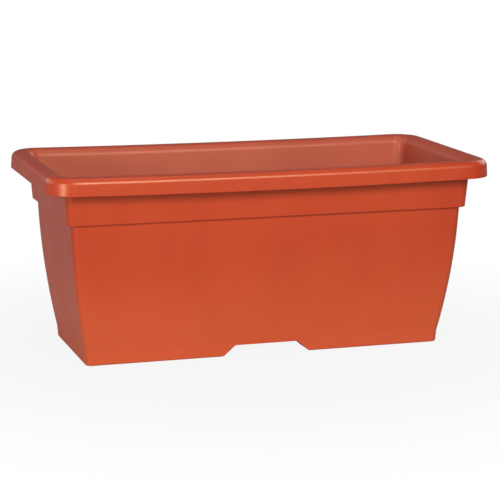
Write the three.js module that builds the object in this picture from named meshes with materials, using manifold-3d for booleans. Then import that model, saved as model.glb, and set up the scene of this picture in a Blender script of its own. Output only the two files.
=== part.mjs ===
// A window box planter: one thin-walled trough moulded in plastic, with a broad
// turned-down rim, a stepped band under it, bowed walls and a drain channel across
// its base, and the four push-in plugs that close its drain holes.
// Millimetres, +Z up. The origin is on the ground under the middle of the trough,
// +X runs along its length and the front faces -Y.
import * as THREE from 'three';
import { mergeVertices } from 'three/addons/utils/BufferGeometryUtils.js';
import Module from 'manifold-3d';

const wasm = await Module();
wasm.setup();

// Overall size
const rimLength = 500;
const rimWidth = 244;
const height = 212;

// Thicknesses of the moulding
const wall = 2.5;
const floorThickness = 2.8;

// Rim: a flat land with rounded edges, and a skirt that flares a little downwards
const rimCorner = 31;
const rimOuterRadius = 6.5;
const rimInnerRadius = 9.5;
const skirtHeight = 18.7;
const skirtFlare = 1.3;

// Band under the rim. An inset is measured inwards from the skirt's lower edge.
const bandHeight = 54.1;
const bandInset = 23.5;
const bandDraft = 4;
const bandCorner = 9;

// Bowed walls, from the band's step down to the base
const stepDepth = 5;
const bodyCorner = 8;
const bodyTaper = 17;
const bow = 0.35;

// Base
const baseHeight = 12.9;
const baseDraft = 0.9;
const baseCorner = 7;
const innerFillet = 4;

// Drain channel, formed in the floor right across the trough
const channelHeight = 12.4;
const channelMouth = 100;
const channelRoof = 72;

// Foot rails that the low parts of the floor stand on
const standHeight = 3.6;
const railThickness = 3;
const slotWidth = 14;
const slotSpacing = 70;

// Drain holes, each with a collar under the floor
const holeDiameter = 12;
const holeSpacingX = 254;
const holeSpacingY = 72;
const collarWall = 3;
const collarHeight = 1.5;

// Drain plugs
const plugClearance = 0.3;
const plugTaper = 0.4;
const plugWall = 1.6;
const plugTip = 0.6;
const flangeOverlap = 5;
const flangeThickness = 1.8;
const flangeEdge = 0.6;
const gripLength = 11;
const gripThickness = 2.6;
const gripHeight = 6;

// Facets
const cornerSteps = 6;
const filletSteps = 5;
const bowSteps = 7;
const roundSegments = 28;
const weld = 1e-4;
const cutMargin = 2;

// Heights and insets that follow from the sizes above
const skirtBase = height - skirtHeight;
const rimUnderside = height - wall;
const bandBase = height - bandHeight;
const floorTop = standHeight + floorThickness;
const bodyInset = bandInset + stepDepth;
const baseInset = bodyInset + bodyTaper;
const flareSlope = skirtFlare / skirtHeight;
const draftSlope = bandDraft / bandHeight;

const terracotta = new THREE.MeshStandardMaterial({ color: '#c8502f', roughness: 0.42, metalness: 0 });
const plugTerracotta = new THREE.MeshStandardMaterial({ color: '#b4472a', roughness: 0.5, metalness: 0 });

// ---- Solids -------------------------------------------------------------------

function solidFrom(geometry) {
  const bare = geometry.clone();
  bare.deleteAttribute('normal');
  bare.deleteAttribute('uv');
  const merged = mergeVertices(bare, weld);
  const corners = merged.index.array;
  const triangles = [];
  for (let i = 0; i < corners.length; i += 3) {
    const [a, b, c] = [corners[i], corners[i + 1], corners[i + 2]];
    if (a !== b && b !== c && c !== a) triangles.push(a, b, c);
  }
  return new wasm.Manifold(new wasm.Mesh({
    numProp: 3,
    vertProperties: new Float32Array(merged.attributes.position.array),
    triVerts: new Uint32Array(triangles),
  }));
}

function geometryFrom(solid) {
  const mesh = solid.getMesh();
  const geometry = new THREE.BufferGeometry();
  geometry.setAttribute('position', new THREE.BufferAttribute(mesh.vertProperties, 3));
  geometry.setIndex(new THREE.BufferAttribute(mesh.triVerts, 1));
  geometry.computeVertexNormals();
  return geometry;
}

function box(sizeX, sizeY, sizeZ, x, y, z) {
  return solidFrom(new THREE.BoxGeometry(sizeX, sizeY, sizeZ).translate(x, y, z));
}

function upright(diameter, bottom, top, x, y) {
  const geometry = new THREE.CylinderGeometry(diameter / 2, diameter / 2, top - bottom, roundSegments);
  return solidFrom(geometry.rotateX(Math.PI / 2).translate(x, y, (bottom + top) / 2));
}

// ---- Trough: the same section all round a rectangle with rounded corners ---------

// One ring of the loft, anticlockwise from above
function ring({ inset, z, corner }) {
  const centreX = rimLength / 2 - inset - corner;
  const centreY = rimWidth / 2 - inset - corner;
  const points = [];
  for (const [quarter, sideX, sideY] of [[0, 1, 1], [1, -1, 1], [2, -1, -1], [3, 1, -1]]) {
    for (let step = 0; step <= cornerSteps; step++) {
      const angle = (quarter + step / cornerSteps) * Math.PI / 2;
      points.push([
        sideX * centreX + corner * Math.cos(angle),
        sideY * centreY + corner * Math.sin(angle),
        z,
      ]);
    }
  }
  return points;
}

// Closed solid through a list of rings, with a flat cap on the first and on the last
function loft(stations) {
  const rings = stations.map(ring);
  const count = rings[0].length;
  const lastRing = rings.length - 1;
  const positions = rings.flat(2);
  const firstCentre = positions.push(0, 0, stations[0].z) / 3 - 1;
  const lastCentre = positions.push(0, 0, stations[lastRing].z) / 3 - 1;
  const index = [];
  for (let j = 0; j < count; j++) {
    const next = (j + 1) % count;
    index.push(firstCentre, next, j);
    for (let i = 0; i < lastRing; i++) {
      const [a, b] = [i * count + j, i * count + next];
      index.push(a, b, b + count, a, b + count, a + count);
    }
    index.push(lastCentre, lastRing * count + j, lastRing * count + next);
  }
  const geometry = new THREE.BufferGeometry();
  geometry.setAttribute('position', new THREE.Float32BufferAttribute(positions, 3));
  geometry.setIndex(index);
  return solidFrom(geometry);
}

// Inset of the band's outer face, and of the bowed wall's outer face below it
const bandFace = (z) => bandInset - draftSlope * (z - bandBase);

function wallStation(t) {
  const share = t + 2 * bow * t * (1 - t);
  return {
    inset: baseInset - bodyTaper * share,
    z: baseHeight + (bandBase - baseHeight) * t,
    corner: baseCorner + (bodyCorner - baseCorner) * t,
  };
}

const wallStations = Array.from({ length: bowSteps + 1 }, (_, k) => wallStation(k / bowSteps));
const footStation = { inset: baseInset + baseDraft, z: 0, corner: baseCorner };

// A quarter round about (inset, z). Angles are in degrees, 0 towards the outside
// of the trough and 90 straight up. Its corners share one centre in plan.
function quarter(inset, z, radius, from, to, cornerCentre) {
  return Array.from({ length: filletSteps + 1 }, (_, k) => {
    const angle = THREE.MathUtils.degToRad(from + (to - from) * k / filletSteps);
    const at = inset - radius * Math.cos(angle);
    return { inset: at, z: z + radius * Math.sin(angle), corner: cornerCentre - at };
  });
}

// The sheet's outer face, upwards from the ground to the lower edge of the skirt
function outerFace() {
  const under = rimInnerRadius - wall;
  const inner = rimOuterRadius - wall;
  const filletBase = rimUnderside - under;
  const bandTop = bandFace(filletBase);
  const skirtTop = wall + flareSlope * (rimUnderside - inner - skirtBase);
  const bandCentre = bandCorner + bandTop;
  return [
    footStation,
    ...wallStations,
    { inset: bandInset, z: bandBase, corner: bandCorner },
    ...quarter(bandTop - under, filletBase, under, 180, 90, bandCentre),
    ...quarter(skirtTop + inner, rimUnderside - inner, inner, 90, 0, rimCorner),
    { inset: wall, z: skirtBase, corner: rimCorner - wall },
  ];
}

// Its inner face, from the lower edge of the skirt over the rim and down to the floor
function innerFace() {
  const landEdge = flareSlope * (height - rimOuterRadius - skirtBase);
  const wallTop = bandFace(height - rimInnerRadius) + wall;
  const bandCentre = bandCorner + wallTop - wall;
  const inside = ({ inset, z, corner }) => ({ inset: inset + wall, z, corner: corner - wall });
  const stepTop = inside({ inset: bandInset, z: bandBase + wall, corner: bandCorner });
  const shelf = inside({ inset: bodyInset, z: bandBase + wall, corner: bodyCorner });
  const bowed = wallStations.slice(0, -1).reverse().map(inside);
  const foot = inside(footStation);
  const floorRound = quarter(
    foot.inset + innerFillet, floorTop + innerFillet, innerFillet, 0, -90, foot.inset + foot.corner,
  );
  return [
    { inset: 0, z: skirtBase, corner: rimCorner },
    ...quarter(landEdge + rimOuterRadius, height - rimOuterRadius, rimOuterRadius, 0, 90, rimCorner),
    ...quarter(wallTop - rimInnerRadius, height - rimInnerRadius, rimInnerRadius, 90, 180, bandCentre),
    stepTop,
    shelf,
    ...bowed,
    ...floorRound,
  ];
}

// A bar of trapezoidal section that crosses the whole trough, grown outwards by a thickness
function channelBar(bottom, top, grow) {
  const slope = (channelMouth - channelRoof) / 2 / channelHeight;
  const widen = grow * Math.hypot(1, slope);
  const halfAt = (z) => channelMouth / 2 + widen - slope * z;
  const section = new THREE.Shape();
  section.moveTo(-halfAt(bottom), bottom);
  section.lineTo(halfAt(bottom), bottom);
  section.lineTo(halfAt(top), top);
  section.lineTo(-halfAt(top), top);
  section.closePath();
  const geometry = new THREE.ExtrudeGeometry(section, { depth: rimWidth, bevelEnabled: false });
  return solidFrom(geometry.rotateX(Math.PI / 2).translate(0, rimWidth / 2, 0));
}

// The low floor's hollow underside, one on each side of the channel
function footRecess(side) {
  const hollow = { inset: footStation.inset + railThickness, corner: baseCorner - railThickness };
  const plate = loft([{ ...hollow, z: -cutMargin }, { ...hollow, z: standHeight }]);
  const from = channelMouth / 2 + railThickness;
  return plate.intersect(box(rimLength, rimWidth, height, side * (from + rimLength / 2), 0, 0));
}

const sides = [-1, 1];
const holePlaces = sides.flatMap((sideX) => sides.map(
  (sideY) => [sideX * holeSpacingX / 2, sideY * holeSpacingY / 2],
));

function trough() {
  let solid = loft([...outerFace(), ...innerFace()]);

  // The floor rises over the channel in one thickness
  const core = loft([footStation, ...wallStations]);
  solid = solid.add(channelBar(0, channelHeight + floorThickness, floorThickness).intersect(core));
  solid = solid.subtract(channelBar(-cutMargin, channelHeight, 0));

  for (const side of sides) {
    solid = solid.subtract(footRecess(side));
    for (const row of sides) {
      const slotX = side * (channelMouth + railThickness) / 2;
      solid = solid.subtract(box(
        railThickness + 2 * cutMargin, slotWidth, 2 * standHeight, slotX, row * slotSpacing / 2, 0,
      ));
    }
  }

  for (const [x, y] of holePlaces) {
    const collarDiameter = holeDiameter + 2 * collarWall;
    solid = solid.add(upright(collarDiameter, standHeight - collarHeight, floorTop, x, y));
    solid = solid.subtract(upright(holeDiameter, -cutMargin, floorTop + cutMargin, x, y));
  }
  return solid;
}

// ---- Drain plugs ----------------------------------------------------------------

// A hollow tapered stem under a flange that rests on the floor, with a grip on top.
// Its own origin is at the middle of the flange's underside.
function drainPlug() {
  const flangeRadius = holeDiameter / 2 + flangeOverlap;
  const stemRadius = holeDiameter / 2 - plugClearance;
  const stemLength = floorThickness + collarHeight + plugTip;
  const boreRadius = stemRadius - plugTaper - plugWall;
  const profile = [
    [0, 0],
    [boreRadius, 0],
    [boreRadius, -stemLength],
    [stemRadius - plugTaper, -stemLength],
    [stemRadius, 0],
    [flangeRadius, 0],
    [flangeRadius, flangeThickness - flangeEdge],
    [flangeRadius - flangeEdge, flangeThickness],
    [0, flangeThickness],
  ].map(([radius, z]) => new THREE.Vector2(radius, z));
  const body = solidFrom(new THREE.LatheGeometry(profile, roundSegments).rotateX(Math.PI / 2));

  const half = gripLength / 2;
  const shoulder = gripHeight - half / 2;
  const outline = new THREE.Shape();
  outline.moveTo(-half, flangeThickness / 2);
  outline.lineTo(half, flangeThickness / 2);
  outline.lineTo(half, flangeThickness + shoulder);
  outline.absellipse(0, flangeThickness + shoulder, half, half / 2, 0, Math.PI);
  outline.closePath();
  const grip = new THREE.ExtrudeGeometry(outline, {
    depth: gripThickness, bevelEnabled: false, curveSegments: filletSteps * 2,
  });
  return body.add(solidFrom(grip.rotateX(Math.PI / 2).translate(0, gripThickness / 2, 0)));
}

// ---- Assembly -------------------------------------------------------------------

function part(name, solid, material) {
  const mesh = new THREE.Mesh(geometryFrom(solid), material);
  mesh.name = name;
  return mesh;
}

const planter = new THREE.Group();
planter.add(part('trough', trough(), terracotta));

const plug = drainPlug();
holePlaces.forEach(([x, y], index) => {
  const mesh = part(`drain_plug_${index + 1}`, plug, plugTerracotta);
  mesh.position.set(x, y, floorTop);
  planter.add(mesh);
});

export default planter;
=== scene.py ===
"""A terracotta-coloured window box planter, moulded in one piece, with its four
push-in drain plugs, on a pale floor in soft studio light.

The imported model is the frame. The trough and the plugs are modelled here again, finer
than the solids, and stand exactly where those stand. Sizes are in millimetres until
they reach Blender, which works in metres."""

import math

import bmesh
import bpy
from mathutils import Matrix, Vector


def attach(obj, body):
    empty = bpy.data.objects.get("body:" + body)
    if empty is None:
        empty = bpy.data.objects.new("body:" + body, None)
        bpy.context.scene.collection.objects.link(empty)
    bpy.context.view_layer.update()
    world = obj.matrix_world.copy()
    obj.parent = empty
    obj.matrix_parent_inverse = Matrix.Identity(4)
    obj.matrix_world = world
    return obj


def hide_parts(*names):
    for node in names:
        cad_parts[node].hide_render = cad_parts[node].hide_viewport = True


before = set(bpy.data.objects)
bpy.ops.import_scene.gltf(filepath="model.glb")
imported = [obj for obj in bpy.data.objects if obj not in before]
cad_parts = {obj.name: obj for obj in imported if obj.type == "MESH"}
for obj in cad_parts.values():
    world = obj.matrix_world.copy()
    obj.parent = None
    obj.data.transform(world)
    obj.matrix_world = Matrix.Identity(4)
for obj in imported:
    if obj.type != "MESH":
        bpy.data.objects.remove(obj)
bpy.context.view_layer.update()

MM = 0.001
FOUR_CORNERS = ((-1, -1), (-1, 1), (1, -1), (1, 1))

# ---- Sizes of the moulding, as in the solids but for the rim's outer bend, the skirt and
# ---- the inner corners, which follow the photograph more closely here

RIM_LENGTH, RIM_WIDTH, HEIGHT = 500.0, 244.0, 212.0
WALL, FLOOR_THICKNESS = 2.5, 2.8
INNER_CORNER = 3.0     # the inner face's corners are rounder by this, so the wall is thicker there
RIM_CORNER, RIM_OUTER_RADIUS, RIM_INNER_RADIUS = 31.0, 7.4, 9.5
SKIRT_HEIGHT, SKIRT_FLARE = 19.1, 1.3
BAND_HEIGHT, BAND_INSET, BAND_DRAFT, BAND_CORNER = 54.1, 23.5, 4.0, 9.0
STEP_DEPTH, BODY_CORNER, BODY_TAPER = 5.0, 8.0, 17.0
BOW = 0.35             # the wall's middle stands out from a straight one by half this share of the taper
BASE_HEIGHT, BASE_DRAFT, BASE_CORNER, INNER_FILLET = 12.9, 0.9, 7.0, 4.0
CHANNEL_HEIGHT, CHANNEL_MOUTH, CHANNEL_ROOF = 12.4, 100.0, 72.0
STAND_HEIGHT, RAIL, SLOT_WIDTH, SLOT_SPACING = 3.6, 3.0, 14.0, 70.0
HOLE_DIAMETER, HOLE_X, HOLE_Y = 12.0, 127.0, 36.0
COLLAR_WALL, COLLAR_HEIGHT = 3.0, 1.5

# Small rounds that only the finished moulding shows
LIP_ROUND = 0.9        # lower edge of the rim's skirt
STEP_ROUND = 0.6       # lower edge of the band
SHELF_ROUND = 0.7      # where the bowed wall starts under the band
BASE_ROUND = 1.8       # edge that stands on the ground
INSIDE_ROUND = 2.4     # the band's step seen from inside
HUMP_ROUND = 2.6       # floor running up and over the drain channel

# The long sides of the rim have sunk a little between the corners as the moulding cooled
RIM_SAG = 1.5
LIP_SAG = 0.6          # and the skirt's lower edge has sunk a little more
SAG_STEPS = 22
SAG_START = 4.0        # the wall follows the rim from this far below the skirt's edge
LIP_HEIGHT = 1.2       # what counts as the skirt's lower edge, up or down from it
LIP_DEPTH = 6.0        # and inwards from the rim's outside

CORNER_FACETS = 20
BOW_RINGS = 26

# What is added or cut away runs past the surface that it meets
CUT_PAST = 4.0
HUMP_FOOT = 0.4        # where the hump over the channel starts, inside the rails
COLLAR_ROOT = 0.5      # how far under the floor's top the collars end, inside the floor

SKIRT_BASE = HEIGHT - SKIRT_HEIGHT
RIM_UNDERSIDE = HEIGHT - WALL
BAND_BASE = HEIGHT - BAND_HEIGHT
FLOOR_TOP = STAND_HEIGHT + FLOOR_THICKNESS
BASE_INSET = BAND_INSET + STEP_DEPTH + BODY_TAPER
FOOT_INSET = BASE_INSET + BASE_DRAFT


# ---- Working by hand: selecting, shaping, cutting --------------------------------------

ROUND_SIDES = 64       # of a hole, a collar or a plug
ON_LEVEL = 0.02        # millimetres, within which an edge lies at a height
ON_RING = 0.05         # the same for one that runs along a ring of the section
ON_CUT = 0.01          # and for what lies on a cut across the rim or on a grip's flat side
DOUBLES = 0.002        # closer than this, two vertices are one
SHARP_ANGLE = 40.0     # degrees between two faces that meet in a sharp edge
SMOOTH_ANGLE = 32.0    # below this, the edge between two faces is shaded as one surface
FLATS_FIRST = 60       # how strongly large flat faces draw the shading of their rounds' ends


def deselect():
    if bpy.context.object and bpy.context.object.mode != "OBJECT":
        bpy.ops.object.mode_set(mode="OBJECT")
    bpy.ops.object.select_all(action="DESELECT")


def named(name, size=(1, 1, 1)):
    """The primitive just added, with its own name and with its size and place in its mesh."""
    piece = bpy.context.object
    piece.name = piece.data.name = name
    piece.scale = size
    bpy.ops.object.transform_apply(location=True, rotation=True, scale=True)
    return piece


def block(name, size, place):
    deselect()
    bpy.ops.mesh.primitive_cube_add(size=1, location=Vector(place) * MM)
    return named(name, Vector(size) * MM)


def disc(name, radius, bottom, top, place=(0, 0)):
    deselect()
    bpy.ops.mesh.primitive_cylinder_add(
        vertices=ROUND_SIDES, radius=radius * MM, depth=(top - bottom) * MM,
        location=Vector((place[0], place[1], (bottom + top) / 2)) * MM)
    return named(name)


def edit(piece, mode="EDGE"):
    """Opens this piece alone in edit mode, with nothing selected."""
    deselect()
    piece.select_set(True)
    bpy.context.view_layer.objects.active = piece
    bpy.ops.object.mode_set(mode="EDIT")
    bpy.ops.mesh.select_mode(type=mode)
    bpy.ops.mesh.select_all(action="DESELECT")


def pick(piece, kind, chosen):
    """Selects, in edit mode, the verts, edges or faces that are chosen, and counts them."""
    bpy.ops.mesh.select_all(action="DESELECT")
    bm = bmesh.from_edit_mesh(piece.data)
    found = 0
    for element in getattr(bm, kind):
        if chosen(element):
            element.select_set(True)
            found += 1
    bm.select_flush_mode()
    bmesh.update_edit_mesh(piece.data)
    return found


def round_edges(piece, chosen, radius, facets, opening=90.0):
    """Rounds the chosen edges. The faces on their two sides turn by the opening angle."""
    edit(piece)
    if pick(piece, "edges", chosen):
        bpy.ops.mesh.bevel(
            offset=radius * math.tan(math.radians(opening) / 2) * MM, segments=facets,
            profile=0.5, affect="EDGES", clamp_overlap=False)
    bpy.ops.object.mode_set(mode="OBJECT")


def carve(piece, tool, operation="DIFFERENCE"):
    """Cuts the tool away from the piece or adds it, and throws the tool away."""
    deselect()
    bpy.context.view_layer.objects.active = piece
    piece.select_set(True)
    bpy.ops.object.modifier_add(type="BOOLEAN")
    cut = piece.modifiers[-1]
    cut.operation, cut.object, cut.solver = operation, tool, "EXACT"
    bpy.ops.object.modifier_apply(modifier=cut.name)
    bpy.data.objects.remove(tool)


def finish_surface(piece):
    """Merges doubles, turns the faces outwards and shades the rounds smooth and the flats flat."""
    edit(piece, "VERT")
    bpy.ops.mesh.select_all(action="SELECT")
    bpy.ops.mesh.remove_doubles(threshold=DOUBLES * MM)
    bpy.ops.mesh.normals_make_consistent(inside=False)
    bpy.ops.object.mode_set(mode="OBJECT")
    bpy.ops.object.shade_smooth_by_angle(angle=math.radians(SMOOTH_ANGLE))
    bpy.ops.object.modifier_add(type="WEIGHTED_NORMAL")
    weighted = piece.modifiers[-1]
    weighted.keep_sharp, weighted.weight = True, FLATS_FIRST
    bpy.ops.object.modifier_apply(modifier=weighted.name)


def level(edge, height):
    return all(abs(v.co.z - height * MM) < ON_LEVEL * MM for v in edge.verts)


def across(edge):
    """Whether an edge runs from front to back."""
    a, b = edge.verts
    return abs(a.co.x - b.co.x) < ON_CUT * MM


def upright(edge):
    a, b = edge.verts
    return abs(a.co.z - b.co.z) > ON_LEVEL * MM


def sharp(edge):
    return len(edge.link_faces) == 2 and edge.calc_face_angle(0) > math.radians(SHARP_ANGLE)


# ---- The trough's section --------------------------------------------------------------

# A ring is the trough's outline at one height: how far it lies in from the skirt's lower
# edge, its height, and its corners' radius seen from above

def corner_centre(ring):
    inset, _, corner = ring
    return RIM_LENGTH / 2 - inset - corner, RIM_WIDTH / 2 - inset - corner


def reach(vertex, ring):
    """How far a vertex lies out from a ring's corner centres, or from the lines that join them."""
    centre_x, centre_y = corner_centre(ring)
    x, y = abs(vertex.co.x) / MM - centre_x, abs(vertex.co.y) / MM - centre_y
    return math.hypot(x, y) if x > 0 and y > 0 else max(x, y)


def on_ring(edge, ring):
    _, height, corner = ring
    return all(abs(reach(v, ring) - corner) <= ON_RING and abs(v.co.z / MM - height) <= ON_RING
               for v in edge.verts)


def band_face(height):
    """How far in the band's drafted outer face lies at a height."""
    return BAND_INSET - BAND_DRAFT / BAND_HEIGHT * (height - BAND_BASE)


def bowed(t):
    """The ring of the bowed wall's outer face at a share of the way from base to band."""
    share = t + 2 * BOW * t * (1 - t)
    return (BASE_INSET - BODY_TAPER * share, BASE_HEIGHT + (BAND_BASE - BASE_HEIGHT) * t,
            BASE_CORNER + (BODY_CORNER - BASE_CORNER) * t)


def inside(ring):
    """The same ring on the inner face."""
    inset, height, corner = ring
    return inset + WALL, height, corner + INNER_CORNER


# The rings at the section's sharp corners, before these are rounded. At the rim's inner
# bend, the corner's radius is the one that the band has where the bend starts
FLARE_SLOPE = SKIRT_FLARE / SKIRT_HEIGHT
SKIRT_TOP_INSET = WALL + FLARE_SLOPE * (RIM_UNDERSIDE - SKIRT_BASE)
BEND_START = HEIGHT - RIM_INNER_RADIUS

FOOT = (FOOT_INSET, 0, BASE_CORNER)
BOWED = [bowed(k / BOW_RINGS) for k in range(BOW_RINGS + 1)]
BAND_EDGE = (BAND_INSET, BAND_BASE, BAND_CORNER)
UNDER_BAND = (band_face(RIM_UNDERSIDE), RIM_UNDERSIDE,
              BAND_CORNER + band_face(BEND_START) - band_face(RIM_UNDERSIDE))
UNDER_SKIRT = (SKIRT_TOP_INSET, RIM_UNDERSIDE, RIM_CORNER - SKIRT_TOP_INSET)
LIP_INSIDE = (WALL, SKIRT_BASE, RIM_CORNER - WALL)
LIP_OUTSIDE = (0, SKIRT_BASE, RIM_CORNER)
RIM_OUTSIDE = (SKIRT_FLARE, HEIGHT, RIM_CORNER - SKIRT_FLARE)
RIM_INSIDE = (band_face(HEIGHT) + WALL, HEIGHT,
              BAND_CORNER + INNER_CORNER + band_face(BEND_START) - band_face(HEIGHT))
STEP_INSIDE = inside((BAND_INSET, BAND_BASE + WALL, BAND_CORNER))
SHELF_INSIDE = inside((BAND_INSET + STEP_DEPTH, BAND_BASE + WALL, BODY_CORNER))
FLOOR_EDGE = inside((FOOT_INSET, FLOOR_TOP, BASE_CORNER))

SECTION = [FOOT, *BOWED, BAND_EDGE, UNDER_BAND, UNDER_SKIRT, LIP_INSIDE, LIP_OUTSIDE,
           RIM_OUTSIDE, RIM_INSIDE, STEP_INSIDE, SHELF_INSIDE,
           *[inside(ring) for ring in reversed(BOWED[:-1])], FLOOR_EDGE]


# ---- The trough ------------------------------------------------------------------------

def mould_trough():
    """Extrudes a rounded plate from ring to ring, up the outside, over the rim and down inside."""
    inset, height, corner = FOOT
    deselect()
    bpy.ops.mesh.primitive_plane_add(size=1, location=(0, 0, height * MM))
    trough = named("moulded_trough",
                   ((RIM_LENGTH - 2 * inset) * MM, (RIM_WIDTH - 2 * inset) * MM, 1))
    edit(trough, "VERT")
    bpy.ops.mesh.select_all(action="SELECT")
    bpy.ops.mesh.bevel(offset=corner * MM, segments=CORNER_FACETS, profile=0.5, affect="VERTICES")
    bpy.ops.mesh.select_mode(type="FACE")
    bpy.ops.mesh.select_all(action="SELECT")

    for before, after in zip(SECTION, SECTION[1:]):
        bpy.ops.mesh.select_mode(type="FACE")
        bpy.ops.mesh.extrude_region_move(
            TRANSFORM_OT_translate={"value": (0, 0, (after[1] - before[1]) * MM)})
        plate = next(f for f in bmesh.from_edit_mesh(trough.data).faces if f.select)
        outline = {v.index for v in plate.verts}

        # Each corner's arc is scaled to its new radius and moved to its new centre
        (x0, y0), (x1, y1) = corner_centre(before), corner_centre(after)
        grow = after[2] / before[2]
        bpy.ops.mesh.select_mode(type="VERT")
        for side_x, side_y in FOUR_CORNERS:
            pick(trough, "verts",
                 lambda v: v.index in outline and v.co.x * side_x > 0 and v.co.y * side_y > 0)
            bpy.ops.transform.resize(
                value=(grow, grow, 1),
                center_override=(side_x * x0 * MM, side_y * y0 * MM, after[1] * MM))
            bpy.ops.transform.translate(
                value=(side_x * (x1 - x0) * MM, side_y * (y1 - y0) * MM, 0))
        pick(trough, "verts", lambda v: v.index in outline)
    bpy.ops.object.mode_set(mode="OBJECT")
    return trough


def round_trough(trough):
    flare = math.degrees(math.atan(FLARE_SLOPE))
    draft = math.degrees(math.atan(BAND_DRAFT / BAND_HEIGHT))

    def round_ring(ring, radius, facets, opening=90.0):
        round_edges(trough, lambda e: on_ring(e, ring), radius, facets, opening)

    # Rim: its land's two edges, and the same bends on the underside, one wall thinner
    round_ring(RIM_OUTSIDE, RIM_OUTER_RADIUS, facets=9, opening=90 - flare)
    round_ring(RIM_INSIDE, RIM_INNER_RADIUS, facets=10, opening=90 - draft)
    round_ring(UNDER_SKIRT, RIM_OUTER_RADIUS - WALL, facets=6, opening=90 - flare)
    round_ring(UNDER_BAND, RIM_INNER_RADIUS - WALL, facets=7, opening=90 - draft)
    round_ring(LIP_OUTSIDE, LIP_ROUND, facets=3)
    round_ring(LIP_INSIDE, LIP_ROUND, facets=3)

    # Band and shelf, outside and inside
    round_ring(BAND_EDGE, STEP_ROUND, facets=4)
    round_ring(BOWED[-1], SHELF_ROUND, facets=3)
    round_ring(STEP_INSIDE, INSIDE_ROUND, facets=4)
    round_ring(SHELF_INSIDE, INSIDE_ROUND, facets=4)

    # Base, outside and inside
    round_ring(FOOT, BASE_ROUND, facets=4)
    round_ring(FLOOR_EDGE, INNER_FILLET, facets=6)


def let_rim_sag(trough):
    """Cuts the long sides across at even steps and lowers the rim at each, most in the middle."""
    straight = RIM_LENGTH / 2 - RIM_CORNER
    shares = [2 * step / SAG_STEPS - 1 for step in range(1, SAG_STEPS)]
    edit(trough, "VERT")
    for share in shares:
        bpy.ops.mesh.select_all(action="SELECT")
        bpy.ops.mesh.bisect(plane_co=(straight * share * MM, 0, 0), plane_no=(1, 0, 0))

    for share in shares:
        x, depth = straight * share, 1 - share * share
        lip = SKIRT_BASE - RIM_SAG * depth

        def in_rim(v):
            return abs(v.co.x - x * MM) < ON_CUT * MM and v.co.z > (SKIRT_BASE - SAG_START) * MM

        def on_lip(v):
            return (in_rim(v) and abs(v.co.z - lip * MM) < LIP_HEIGHT * MM
                    and abs(v.co.y) > (RIM_WIDTH / 2 - LIP_DEPTH) * MM)

        for chosen, sag in ((in_rim, RIM_SAG), (on_lip, LIP_SAG)):
            pick(trough, "verts", chosen)
            bpy.ops.transform.translate(value=(0, 0, -sag * depth * MM))
    bpy.ops.object.mode_set(mode="OBJECT")


def open_drain_channel(trough):
    """Cuts the channel under the floor, and lets the floor rise over it in one thickness."""
    slope = (CHANNEL_MOUTH - CHANNEL_ROOF) / 2 / CHANNEL_HEIGHT

    def channel_bar(name, bottom, top, grow, length):
        """A bar with the channel's sloping sides, moved out by the same amount all the way up."""
        bar = block(name, (1, length, top - bottom), (0, 0, (bottom + top) / 2))
        edit(bar, "VERT")
        for height in (bottom, top):
            half = CHANNEL_MOUTH / 2 + grow - slope * height
            pick(bar, "verts", lambda v: abs(v.co.z - height * MM) < ON_LEVEL * MM)
            bpy.ops.transform.resize(value=(2 * half, 1, 1), center_override=(0, 0, 0))
        bpy.ops.object.mode_set(mode="OBJECT")
        return bar

    hump_top = CHANNEL_HEIGHT + FLOOR_THICKNESS
    hump_grow = FLOOR_THICKNESS * math.hypot(1, slope)
    between_wall_middles = RIM_WIDTH - 2 * FOOT_INSET - WALL
    hump = channel_bar("hump", HUMP_FOOT, hump_top, hump_grow, between_wall_middles)
    round_edges(hump, lambda e: level(e, hump_top) and across(e), HUMP_ROUND, facets=4, opening=45)
    carve(trough, hump, "UNION")
    carve(trough, channel_bar("channel", -CUT_PAST, CHANNEL_HEIGHT, 0, RIM_WIDTH))


def open_low_floors(trough):
    """A shallow hollow under each low floor, slots from it to the channel, and collared holes."""
    outer_end = RIM_LENGTH / 2 - FOOT_INSET - RAIL
    inner_end = CHANNEL_MOUTH / 2 + RAIL
    width = RIM_WIDTH - 2 * (FOOT_INSET + RAIL)
    for side in (-1, 1):
        hollow = block("hollow", (outer_end - inner_end, width, STAND_HEIGHT + CUT_PAST),
                       (side * (outer_end + inner_end) / 2, 0, (STAND_HEIGHT - CUT_PAST) / 2))
        round_edges(hollow, lambda e: upright(e) and abs(e.verts[0].co.x) > CHANNEL_MOUTH * MM,
                    BASE_CORNER - RAIL, facets=6)
        carve(trough, hollow)
        for row in (-1, 1):
            slot = block("slot", (RAIL + CUT_PAST, SLOT_WIDTH, 2 * STAND_HEIGHT),
                         (side * (CHANNEL_MOUTH + RAIL) / 2, row * SLOT_SPACING / 2, 0))
            carve(trough, slot)
            place = (side * HOLE_X, row * HOLE_Y)
            collar = disc("collar", HOLE_DIAMETER / 2 + COLLAR_WALL,
                          STAND_HEIGHT - COLLAR_HEIGHT, FLOOR_TOP - COLLAR_ROOT, place)
            carve(trough, collar, "UNION")
            carve(trough, disc("hole", HOLE_DIAMETER / 2, -CUT_PAST, FLOOR_TOP + CUT_PAST, place))


def build_trough():
    trough = mould_trough()
    round_trough(trough)
    let_rim_sag(trough)
    open_drain_channel(trough)
    open_low_floors(trough)
    finish_surface(trough)
    return trough


trough = build_trough()
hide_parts("trough")
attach(trough, "trough_body")


# ---- The drain plugs ---------------------------------------------------------------------

PLUG_CLEARANCE, PLUG_TAPER, PLUG_WALL, PLUG_TIP = 0.3, 0.4, 1.6, 0.6
FLANGE_OVERLAP, FLANGE_THICKNESS, FLANGE_ROUND = 5.0, 1.8, 0.6
GRIP_LENGTH, GRIP_THICKNESS, GRIP_HEIGHT = 11.0, 2.6, 6.0
STEM_ROUND, GRIP_ROUND = 0.4, 0.5
GRIP_STEPS, GRIP_LAST_TURN = 14, 89.0    # the grip's top ends as a narrow flat, not in a point


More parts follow.
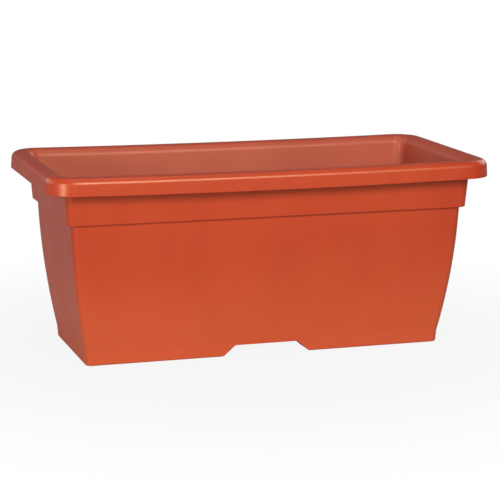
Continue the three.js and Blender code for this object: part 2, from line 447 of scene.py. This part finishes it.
def build_plug():
    """A flange with a hollow tapered stem under it and a half-round grip on top."""
    flange = HOLE_DIAMETER / 2 + FLANGE_OVERLAP
    stem = HOLE_DIAMETER / 2 - PLUG_CLEARANCE
    length = FLOOR_THICKNESS + COLLAR_HEIGHT + PLUG_TIP
    plug = disc("plug", flange, 0, FLANGE_THICKNESS)
    round_edges(plug, lambda e: level(e, FLANGE_THICKNESS), FLANGE_ROUND, facets=4)

    edit(plug, "FACE")
    pick(plug, "faces", lambda f: f.normal.z < -0.9)
    bpy.ops.mesh.inset(thickness=(flange - stem) * MM)
    bpy.ops.mesh.extrude_region_move(TRANSFORM_OT_translate={"value": (0, 0, -length * MM)})
    narrow = (stem - PLUG_TAPER) / stem
    bpy.ops.transform.resize(value=(narrow, narrow, 1), center_override=(0, 0, 0))
    bpy.ops.mesh.inset(thickness=PLUG_WALL * MM)
    bpy.ops.mesh.extrude_region_move(TRANSFORM_OT_translate={"value": (0, 0, length * MM)})
    bpy.ops.object.mode_set(mode="OBJECT")
    round_edges(plug, lambda e: level(e, -length), STEM_ROUND, facets=2)

    grip = build_grip()
    carve(plug, grip, "UNION")
    finish_surface(plug)
    return plug


def build_grip():
    """A block from inside the flange to where the half-round starts, drawn up in narrowing steps."""
    half_round = GRIP_LENGTH / 4
    shoulder = FLANGE_THICKNESS + GRIP_HEIGHT - half_round
    foot = FLANGE_THICKNESS / 2
    grip = block("grip", (GRIP_LENGTH, GRIP_THICKNESS, shoulder - foot),
                 (0, 0, (shoulder + foot) / 2))
    edit(grip, "FACE")
    pick(grip, "faces", lambda f: f.normal.z > 0.9)
    turns = [math.pi / 2 * k / GRIP_STEPS for k in range(GRIP_STEPS)]
    for before, after in zip(turns, turns[1:] + [math.radians(GRIP_LAST_TURN)]):
        rise = half_round * (math.sin(after) - math.sin(before))
        bpy.ops.mesh.extrude_region_move(TRANSFORM_OT_translate={"value": (0, 0, rise * MM)})
        bpy.ops.transform.resize(value=(math.cos(after) / math.cos(before), 1, 1),
                                 center_override=(0, 0, 0))
    bpy.ops.object.mode_set(mode="OBJECT")

    def flat_side(edge):
        return all(abs(abs(v.co.y) - GRIP_THICKNESS / 2 * MM) < ON_CUT * MM for v in edge.verts)

    round_edges(grip, lambda e: flat_side(e) and sharp(e), GRIP_ROUND, facets=3)
    return grip


def place_plugs():
    pattern = build_plug()
    placed = []
    for side, row in FOUR_CORNERS:
        number = len(placed) + 1
        plug = pattern.copy()
        plug.data = pattern.data.copy()
        plug.name = plug.data.name = f"push_in_plug_{number}"
        seat = Vector((side * HOLE_X, row * HOLE_Y, FLOOR_TOP)) * MM
        plug.data.transform(Matrix.Translation(seat))
        bpy.context.scene.collection.objects.link(plug)
        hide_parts(f"drain_plug_{number}")
        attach(plug, f"plug_{number}")
        placed.append(plug)
    bpy.data.objects.remove(pattern)
    return placed


plugs = place_plugs()


# ---- Materials --------------------------------------------------------------------------

SMOOTH = {"interpolation_type": "SMOOTHSTEP"}
COLOURS = {"data_type": "RGBA"}
TIMES = {"operation": "MULTIPLY"}
TIMES_PLUS = {"operation": "MULTIPLY_ADD"}
WHITE = (1, 1, 1, 1)

# Polypropylene. Sizes are those of the features, in millimetres
DRIFT_SIZE, STREAK_SIZE, STREAK_STRETCH = 120, 24, 5
PATCH_SIZE, GLOSS_CHANGE = 40, 0.03
WAVE_SIZE, WAVE_DEPTH = 42, 0.14
GRAIN_SIZE, GRAIN_DEPTH = 1.1, 0.03      # coarser than the real tenth of a millimetre, to show
BOUNCE_PAINTED_BELOW, MOST_BOUNCE_PAINT = 150, 0.7     # painted bounce light: a height, and how far the paler colour gets at the ground
INNER_MARK = "inner_side"
LEAST_RISE = 0.02                        # a normal's upward part, which the inner side has everywhere


def linear(hex_colour):
    """The linear colour of an sRGB hex value."""
    parts = [int(hex_colour[i:i + 2], 16) / 255 for i in (1, 3, 5)]
    return [c / 12.92 if c <= 0.04045 else ((c + 0.055) / 1.055) ** 2.4 for c in parts] + [1.0]


def node(tree, kind, settings=(), **links):
    """Adds a node. Settings are its own fields, links its inputs' values or other nodes' outputs.

    An input goes by its name, or by an underscore and its number."""
    made = tree.nodes.new(kind)
    for field, value in dict(settings).items():
        setattr(made, field, value)
    for name, value in links.items():
        key = int(name[1:]) if name[0] == "_" else name.replace("_", " ")
        socket = made.inputs[key]
        if isinstance(value, bpy.types.NodeSocket):
            tree.links.new(value, socket)
        else:
            socket.default_value = value
    return made


def material(name):
    made = bpy.data.materials.new(name)
    made.use_nodes = True
    made.node_tree.nodes.clear()
    return made, made.node_tree


def per_metre(size):
    """A noise's scale for features of this size in millimetres."""
    return 1 / (size * MM)


def moulded_polypropylene(name, colour, shade, roughness, inner=None, painted_bounce=None):
    """Injection-moulded polypropylene, coloured right through with earth-red pigment.

    It gives the eye an even red that drifts by a shade over a hand's breadth, and a
    satin gloss. The fine grain eroded into the mould breaks that gloss, and so do very
    shallow waves where the melt has shrunk. Where the mesh carries the inner side's mark,
    the finish there is the mould's duller core side, and its colour is painted paler: a
    painted sheen in place of the lamps' gloss on the inner walls. Towards the ground the
    outside is painted paler too: painted light in place of light bounced up from the floor."""
    made, tree = material(name)
    place = node(tree, "ShaderNodeTexCoord").outputs["Object"]

    # Pigment: a broad drift, and streaks that follow the melt up the walls
    drift = node(tree, "ShaderNodeTexNoise", Vector=place, Scale=per_metre(DRIFT_SIZE), Detail=2.0)
    along = node(tree, "ShaderNodeMapping", Vector=place, Scale=(1, 1, 1 / STREAK_STRETCH))
    streaks = node(tree, "ShaderNodeTexNoise", Vector=along.outputs[0],
                   Scale=per_metre(STREAK_SIZE), Detail=3.0)
    both = node(tree, "ShaderNodeMath", TIMES_PLUS, _0=streaks.outputs[0], _1=0.5,
                _2=drift.outputs[0])
    shaded = node(tree, "ShaderNodeMapRange", SMOOTH, Value=both.outputs[0],
                  From_Min=0.5, From_Max=1.0).outputs[0]
    pigment = node(tree, "ShaderNodeMix", COLOURS, _0=shaded, _6=linear(colour),
                   _7=linear(shade)).outputs[2]
    # Painted light: the outside is painted paler towards the ground, in place of light bounced up from
    # the floor
    if painted_bounce:
        height = node(tree, "ShaderNodeSeparateXYZ", Vector=place).outputs["Z"]
        bounce_share = node(tree, "ShaderNodeMapRange", SMOOTH, Value=height,
                    From_Min=BOUNCE_PAINTED_BELOW * MM, From_Max=0, To_Min=0, To_Max=MOST_BOUNCE_PAINT)
        pigment = node(tree, "ShaderNodeMix", COLOURS, _0=bounce_share.outputs[0], _6=pigment,
                       _7=linear(painted_bounce)).outputs[2]

    # Gloss: duller and brighter by turns, in patches a few centimetres across
    patches = node(tree, "ShaderNodeTexNoise", Vector=place, Scale=per_metre(PATCH_SIZE), Detail=2.0)
    gloss = node(tree, "ShaderNodeMapRange", SMOOTH, Value=patches.outputs[0],
                 From_Min=0.3, From_Max=0.7, To_Min=roughness - GLOSS_CHANGE,
                 To_Max=roughness + GLOSS_CHANGE).outputs[0]
    # Painted sheen: where the inner side's mark is, the colour is painted paler in place of the lamps'
    # gloss on the inner walls; the roughness is raised there too
    if inner:
        side = node(tree, "ShaderNodeAttribute", {"attribute_name": INNER_MARK}).outputs["Fac"]
        paler = node(tree, "ShaderNodeMix", COLOURS, _0=shaded, _6=linear(inner["colour"]),
                     _7=linear(inner["shade"])).outputs[2]
        pigment = node(tree, "ShaderNodeMix", COLOURS, _0=side, _6=pigment, _7=paler).outputs[2]
        gloss = node(tree, "ShaderNodeMath", TIMES_PLUS, _0=side,
                     _1=inner["roughness"] - roughness, _2=gloss).outputs[0]

    # Surface: shrink waves, then the mould's grain
    waves = node(tree, "ShaderNodeTexNoise", Vector=place, Scale=per_metre(WAVE_SIZE), Detail=1.0)
    waved = node(tree, "ShaderNodeBump", Height=waves.outputs[0], Strength=1.0,
                 Distance=WAVE_DEPTH * MM)
    pits = node(tree, "ShaderNodeTexNoise", Vector=place, Scale=per_metre(GRAIN_SIZE), Detail=2.0)
    grained = node(tree, "ShaderNodeBump", Height=pits.outputs[0], Strength=1.0,
                   Distance=GRAIN_DEPTH * MM, Normal=waved.outputs[0])

    shader = node(tree, "ShaderNodeBsdfPrincipled", Base_Color=pigment, Roughness=gloss, IOR=1.49,
                  Specular_IOR_Level=0.75, Specular_Tint=linear("#ffe4ba"),
                  Normal=grained.outputs[0])
    node(tree, "ShaderNodeOutputMaterial", Surface=shader.outputs["BSDF"])
    return made


def mark_inner_side(piece):
    """Marks the trough's inner side: 0 on the rim's land, rising over its bend to 1 below it."""
    _, _, corner = RIM_INSIDE
    mark = piece.data.attributes.new(INNER_MARK, "FLOAT", "POINT")
    for v in piece.data.vertices:
        bend = (corner + RIM_INNER_RADIUS - reach(v, RIM_INSIDE)) / RIM_INNER_RADIUS
        mark.data[v.index].value = min(max(bend, 0), 1) if v.normal.z > LEAST_RISE else 0


def dress(piece, finish):
    piece.data.materials.clear()
    piece.data.materials.append(finish)


mark_inner_side(trough)
# The inner colours are a painted sheen, and the paler colour towards the ground is painted bounce light
dress(trough, moulded_polypropylene(
    "moulded_polypropylene_trough", "#c64525", "#be3d20", 0.32,
    inner={"colour": "#c65c46", "shade": "#be5440", "roughness": 0.45}, painted_bounce="#e0633c"))
plug_finish = moulded_polypropylene("moulded_polypropylene_plug", "#b84528", "#ae3d22", 0.36)
for plug in plugs:
    dress(plug, plug_finish)


# ---- Camera, as the photograph was taken ---------------------------------------------

YAW, PITCH, ROLL = 0.3072, -0.1948, 0.0054         # radians
CAMERA_PLACE = (-644.90, -2045.81, 525.81)
FOCAL_PIXELS, FRAME_PIXELS, SENSOR_WIDTH = 1931.57, 500, 36
NEAREST, FARTHEST = 0.1, 50                        # metres


def photograph_camera():
    forward = Vector((math.sin(YAW) * math.cos(PITCH), math.cos(YAW) * math.cos(PITCH),
                      math.sin(PITCH)))
    right = Vector((math.cos(YAW), -math.sin(YAW), 0))
    up = right.cross(forward)
    turned_right = right * math.cos(ROLL) + up * math.sin(ROLL)
    turned_up = up * math.cos(ROLL) - right * math.sin(ROLL)
    data = bpy.data.cameras.new("camera")
    data.sensor_width, data.lens = SENSOR_WIDTH, FOCAL_PIXELS * SENSOR_WIDTH / FRAME_PIXELS
    data.clip_start, data.clip_end = NEAREST, FARTHEST
    camera = bpy.data.objects.new("camera", data)
    stand = Matrix((turned_right, turned_up, -forward)).transposed().to_4x4()
    stand.translation = Vector(CAMERA_PLACE) * MM
    camera.matrix_world = stand
    bpy.context.scene.collection.objects.link(camera)
    bpy.context.scene.camera = camera


photograph_camera()


# ---- Floor and light -------------------------------------------------------------------

# The object's gloss sees only a part of the white background, or it would turn pale
FLOOR_IN_GLOSS, WORLD_IN_GLOSS = 0.08, 0.13
FLOOR_WIDTH, FLOOR_DROP = 30, 0.0002               # metres. It lies just under the feet
FLOOR_PAINT = (0.4, 0.4, 0.4, 1)
SHADOW_NEAR, SHADOW_END, WHITENESS_NEAR = 0.2, 0.6, 0.9
AIR = 0.05                                         # the world's own light on the object
LAMP_DISTANCE, LAMP_AIM = 2.4, (0, 0, 0.1)         # metres


def seen(tree, glossy):
    """How far a ray sees the plain white background: the camera's rays fully, a gloss in part."""
    ray = node(tree, "ShaderNodeLightPath").outputs
    straight = node(tree, "ShaderNodeMath", {"operation": "MAXIMUM"}, _0=ray["Is Camera Ray"],
                    _1=ray["Is Transmission Ray"]).outputs[0]
    return node(tree, "ShaderNodeMath", TIMES_PLUS | {"use_clamp": True},
                _0=ray["Is Glossy Ray"], _1=glossy, _2=straight).outputs[0]


def pale_floor():
    """A pale floor. Its own shadow shows near the planter and fades to plain white farther out."""
    deselect()
    bpy.ops.mesh.primitive_plane_add(size=FLOOR_WIDTH, location=(0, 0, -FLOOR_DROP))
    floor = named("floor")
    made, tree = material("matt_pale_floor")
    place = node(tree, "ShaderNodeTexCoord").outputs["Object"]
    away = node(tree, "ShaderNodeVectorMath", {"operation": "LENGTH"}, _0=place).outputs["Value"]
    whiteness = node(tree, "ShaderNodeMapRange", SMOOTH, Value=away, From_Min=SHADOW_NEAR,
                     From_Max=SHADOW_END, To_Min=WHITENESS_NEAR, To_Max=1.0)
    lift = node(tree, "ShaderNodeMath", TIMES, _0=seen(tree, FLOOR_IN_GLOSS),
                _1=whiteness.outputs[0]).outputs[0]
    paint = node(tree, "ShaderNodeBsdfDiffuse", Color=FLOOR_PAINT)
    white = node(tree, "ShaderNodeEmission", Color=WHITE, Strength=1.0)
    mixed = node(tree, "ShaderNodeMixShader", Fac=lift, _1=paint.outputs[0], _2=white.outputs[0])
    node(tree, "ShaderNodeOutputMaterial", Surface=mixed.outputs[0])
    dress(floor, made)


def softbox(name, azimuth, elevation, size, watts):
    """An area lamp aimed at the planter. Azimuth 0 is straight in front, positive to the right."""
    a, e = math.radians(azimuth), math.radians(elevation)
    out = Vector((math.sin(a) * math.cos(e), -math.cos(a) * math.cos(e), math.sin(e)))
    data = bpy.data.lights.new(name, "AREA")
    data.shape, data.size, data.size_y, data.energy = "RECTANGLE", size[0], size[1], watts
    lamp = bpy.data.objects.new(name, data)
    lamp.location = Vector(LAMP_AIM) + out * LAMP_DISTANCE
    lamp.rotation_mode = "QUATERNION"
    lamp.rotation_quaternion = out.to_track_quat("Z", "Y")
    lamp.visible_camera = False
    bpy.context.scene.collection.objects.link(lamp)


def white_world():
    world = bpy.data.worlds.new("studio")
    world.use_nodes = True
    tree = world.node_tree
    tree.nodes.clear()
    air = node(tree, "ShaderNodeBackground", Color=WHITE, Strength=AIR)
    white = node(tree, "ShaderNodeBackground", Color=WHITE, Strength=1.0)
    mixed = node(tree, "ShaderNodeMixShader", Fac=seen(tree, WORLD_IN_GLOSS),
                 _1=air.outputs[0], _2=white.outputs[0])
    node(tree, "ShaderNodeOutputWorld", Surface=mixed.outputs[0])
    bpy.context.scene.world = world


pale_floor()
softbox("front_light", 4, 27, (1.4, 0.75), 39.5)
softbox("left_light", -53, 7, (0.7, 0.5), 21)
softbox("top_light", 0, 88, (1.4, 1.4), 8)
softbox("back_right_light", 118, 24, (1.6, 1.0), 13)
softbox("back_left_light", -126, 18, (2.2, 1.2), 13)
white_world()

bpy.context.scene.view_settings.view_transform = "Standard"
